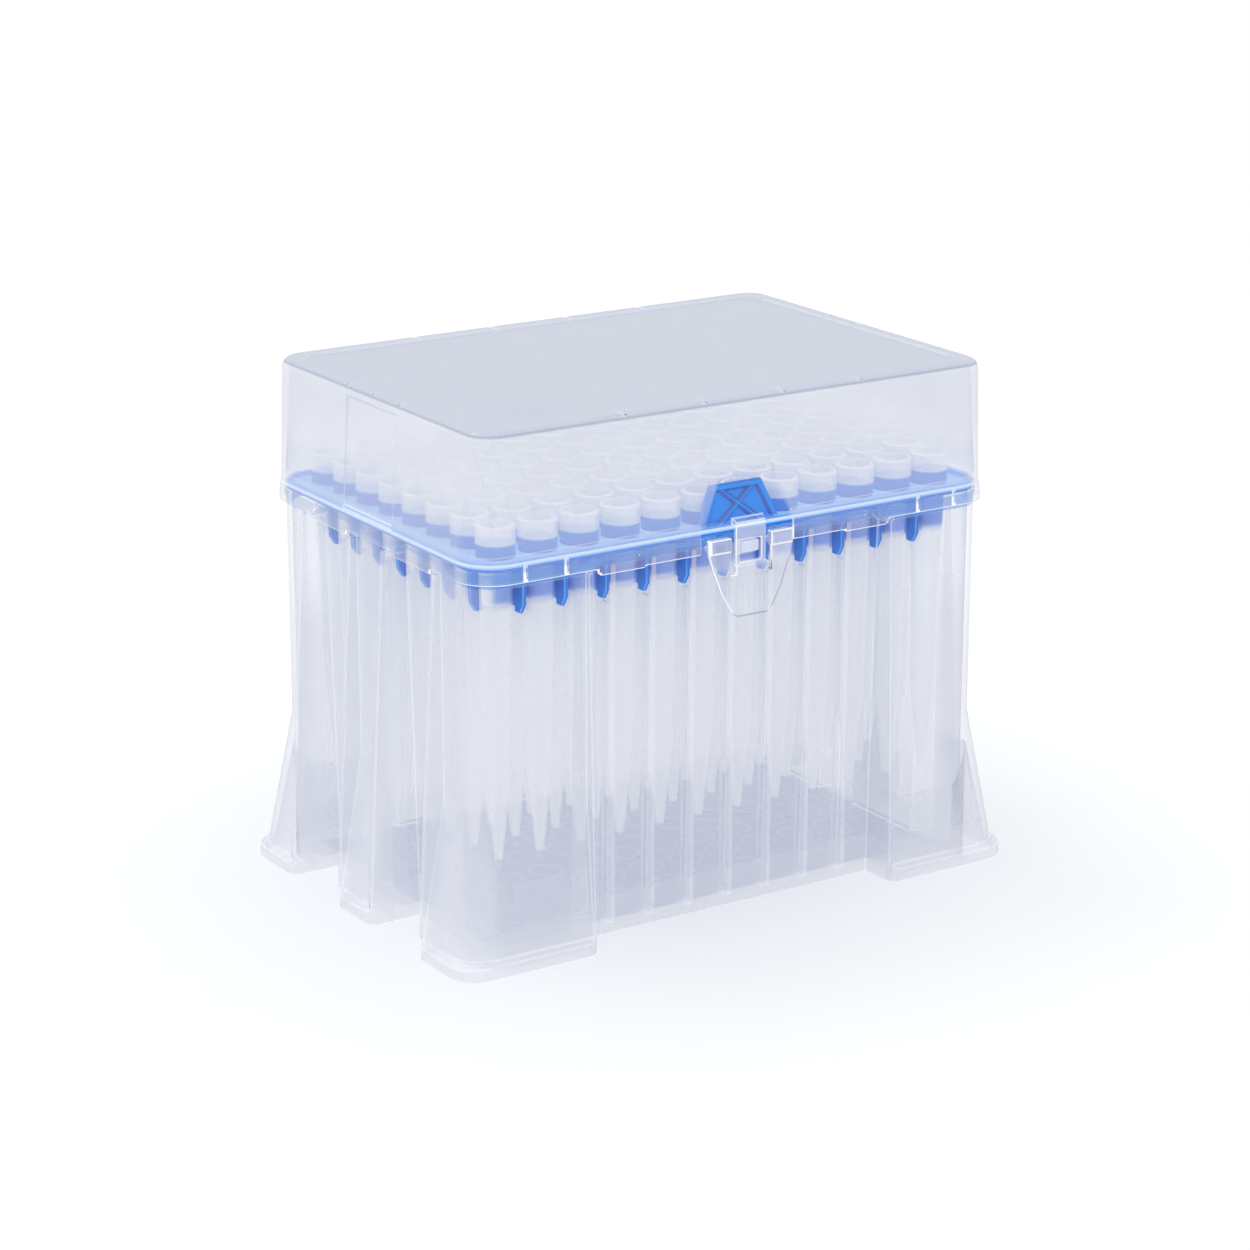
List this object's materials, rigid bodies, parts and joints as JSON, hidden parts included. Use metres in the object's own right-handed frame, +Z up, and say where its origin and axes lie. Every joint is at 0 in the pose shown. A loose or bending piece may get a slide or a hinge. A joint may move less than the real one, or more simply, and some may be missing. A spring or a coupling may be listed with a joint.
{
  "type": "rack of pipette tips",
  "caption": "Hinged clear plastic box that holds a grid of filter pipette tips in a blue tray, with a snap latch at the front and raised feet.",
  "frame": {"origin": "centre of the footprint on the surface that the feet stand on", "axes": "+X along the long side, -Y towards the latch, +Y towards the hinge, +Z up"},
  "size_m": [0.1278, 0.0854, 0.1029],
  "materials": {
    "clear_body": "frosted clear polypropylene",
    "clear_lid": "clear polypropylene",
    "clear_latch": "clear polypropylene",
    "tray_blue": "satin moulded plastic",
    "tip_plastic": "translucent polypropylene",
    "filter_plug": "porous polyethylene"
  },
  "bodies": {
    "box_base": {"base": "clear_body", "tray": "tray_blue", "tips_row_a": "tip_plastic", "tips_row_b": "tip_plastic", "tips_row_c": "tip_plastic", "tips_row_d": "tip_plastic", "tips_row_e": "tip_plastic", "tips_row_f": "tip_plastic", "tips_row_g": "tip_plastic", "tips_row_h": "tip_plastic", "filters_row_a": "filter_plug", "filters_row_b": "filter_plug", "filters_row_c": "filter_plug", "filters_row_d": "filter_plug", "filters_row_e": "filter_plug", "filters_row_f": "filter_plug", "filters_row_g": "filter_plug", "filters_row_h": "filter_plug"},
    "lid": {"lid": "clear_lid"},
    "latch": {"latch": "clear_latch"}
  },
  "joints": [
    {"name": "lid_hinge", "type": "hinge", "parent": "box_base", "child": "lid", "pos_m": [0, 0.041, 0.0753], "axis": [-1, 0, 0], "range_deg": [0, 110]},
    {"name": "latch_flex", "type": "hinge", "parent": "lid", "child": "latch", "pos_m": [0, -0.0419, 0.079], "axis": [-1, 0, 0], "range_deg": [0, 15], "stiffness_Nm_per_rad": 0.05}
  ]
}
